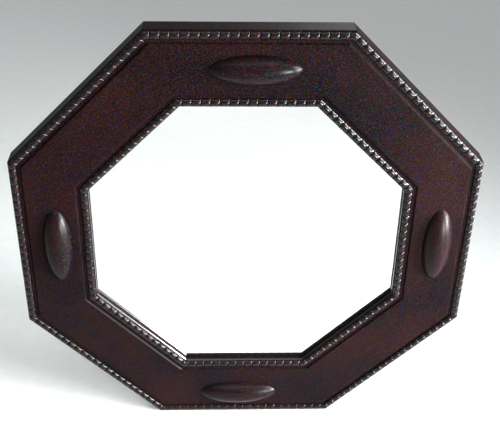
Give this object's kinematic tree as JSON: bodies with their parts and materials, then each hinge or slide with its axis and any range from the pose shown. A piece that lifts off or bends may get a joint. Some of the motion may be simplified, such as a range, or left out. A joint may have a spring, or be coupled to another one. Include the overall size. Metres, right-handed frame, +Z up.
{
  "type": "octagonal tin wall mirror",
  "caption": "Eight-sided wall mirror: dark patinated tin on a wooden core, beaded inner and outer edges, long oval bosses, a hanging ring and turn-buttons behind.",
  "frame": {"origin": "middle of the flat bottom edge, halfway through the depth of the outer side", "axes": "+Z up the mirror, +X across it to the viewer's right, +Y out of the back towards the wall: the mirror faces -Y"},
  "size_m": [0.508, 0.0427, 0.508],
  "materials": {
    "dark_tin": "dark red-brown patina under gloss lacquer",
    "beading_tin": "dark red-brown patina, rubbed on the crowns, gloss lacquer",
    "boss_tin": "dark red-brown patina under gloss lacquer",
    "core_wood": "sawn softwood",
    "spline_wood": "sawn hardwood",
    "board_wood": "aged softwood board",
    "card": "grey-brown card",
    "mirror": "silvered glass",
    "steel": "dulled zinc plate",
    "hanger_brass": "dulled brass"
  },
  "bodies": {
    "frame": {"core_rail_top": "core_wood", "core_rail_upper_right": "core_wood", "core_rail_right": "core_wood", "core_rail_lower_right": "core_wood", "core_rail_bottom": "core_wood", "core_rail_lower_left": "core_wood", "core_rail_left": "core_wood", "core_rail_upper_left": "core_wood", "tin_face_top": "dark_tin", "tin_face_upper_right": "dark_tin", "tin_face_right": "dark_tin", "tin_face_lower_right": "dark_tin", "tin_face_bottom": "dark_tin", "tin_face_lower_left": "dark_tin", "tin_face_left": "dark_tin", "tin_face_upper_left": "dark_tin", "outer_beading_top": "beading_tin", "outer_beading_upper_right": "beading_tin", "outer_beading_right": "beading_tin", "outer_beading_lower_right": "beading_tin", "outer_beading_bottom": "beading_tin", "outer_beading_lower_left": "beading_tin", "outer_beading_left": "beading_tin", "outer_beading_upper_left": "beading_tin", "inner_beading_top": "beading_tin", "inner_beading_upper_right": "beading_tin", "inner_beading_right": "beading_tin", "inner_beading_lower_right": "beading_tin", "inner_beading_bottom": "beading_tin", "inner_beading_lower_left": "beading_tin", "inner_beading_left": "beading_tin", "inner_beading_upper_left": "beading_tin", "boss_top": "boss_tin", "boss_right": "boss_tin", "boss_bottom": "boss_tin", "boss_left": "boss_tin", "mirror_glass": "mirror", "backing_card": "card", "backing_board": "board_wood", "mitre_splines": "spline_wood", "fold_brads": "steel", "turn_button_screws": "steel", "hanger_plate": "hanger_brass", "hanger_screws": "steel"},
    "turn_button_upper_right": {"turn_button_upper_right": "steel"},
    "turn_button_lower_right": {"turn_button_lower_right": "steel"},
    "turn_button_lower_left": {"turn_button_lower_left": "steel"},
    "turn_button_upper_left": {"turn_button_upper_left": "steel"},
    "hanging_ring": {"hanging_ring": "hanger_brass"}
  },
  "joints": [
    {"name": "turn_button_upper_right_turn", "type": "hinge", "parent": "frame", "child": "turn_button_upper_right", "pos_m": [0.13442, 0.0123, 0.38842], "axis": [0, 1, 0], "continuous": true},
    {"name": "turn_button_lower_right_turn", "type": "hinge", "parent": "frame", "child": "turn_button_lower_right", "pos_m": [0.13442, 0.0123, 0.11958], "axis": [0, 1, 0], "continuous": true},
    {"name": "turn_button_lower_left_turn", "type": "hinge", "parent": "frame", "child": "turn_button_lower_left", "pos_m": [-0.13442, 0.0123, 0.11958], "axis": [0, 1, 0], "continuous": true},
    {"name": "turn_button_upper_left_turn", "type": "hinge", "parent": "frame", "child": "turn_button_upper_left", "pos_m": [-0.13442, 0.0123, 0.38842], "axis": [0, 1, 0], "continuous": true},
    {"name": "hanging_ring_swing", "type": "hinge", "parent": "frame", "child": "hanging_ring", "pos_m": [0, 0.01403, 0.47274], "axis": [1, 0, 0], "range_deg": [0, 180]}
  ]
}
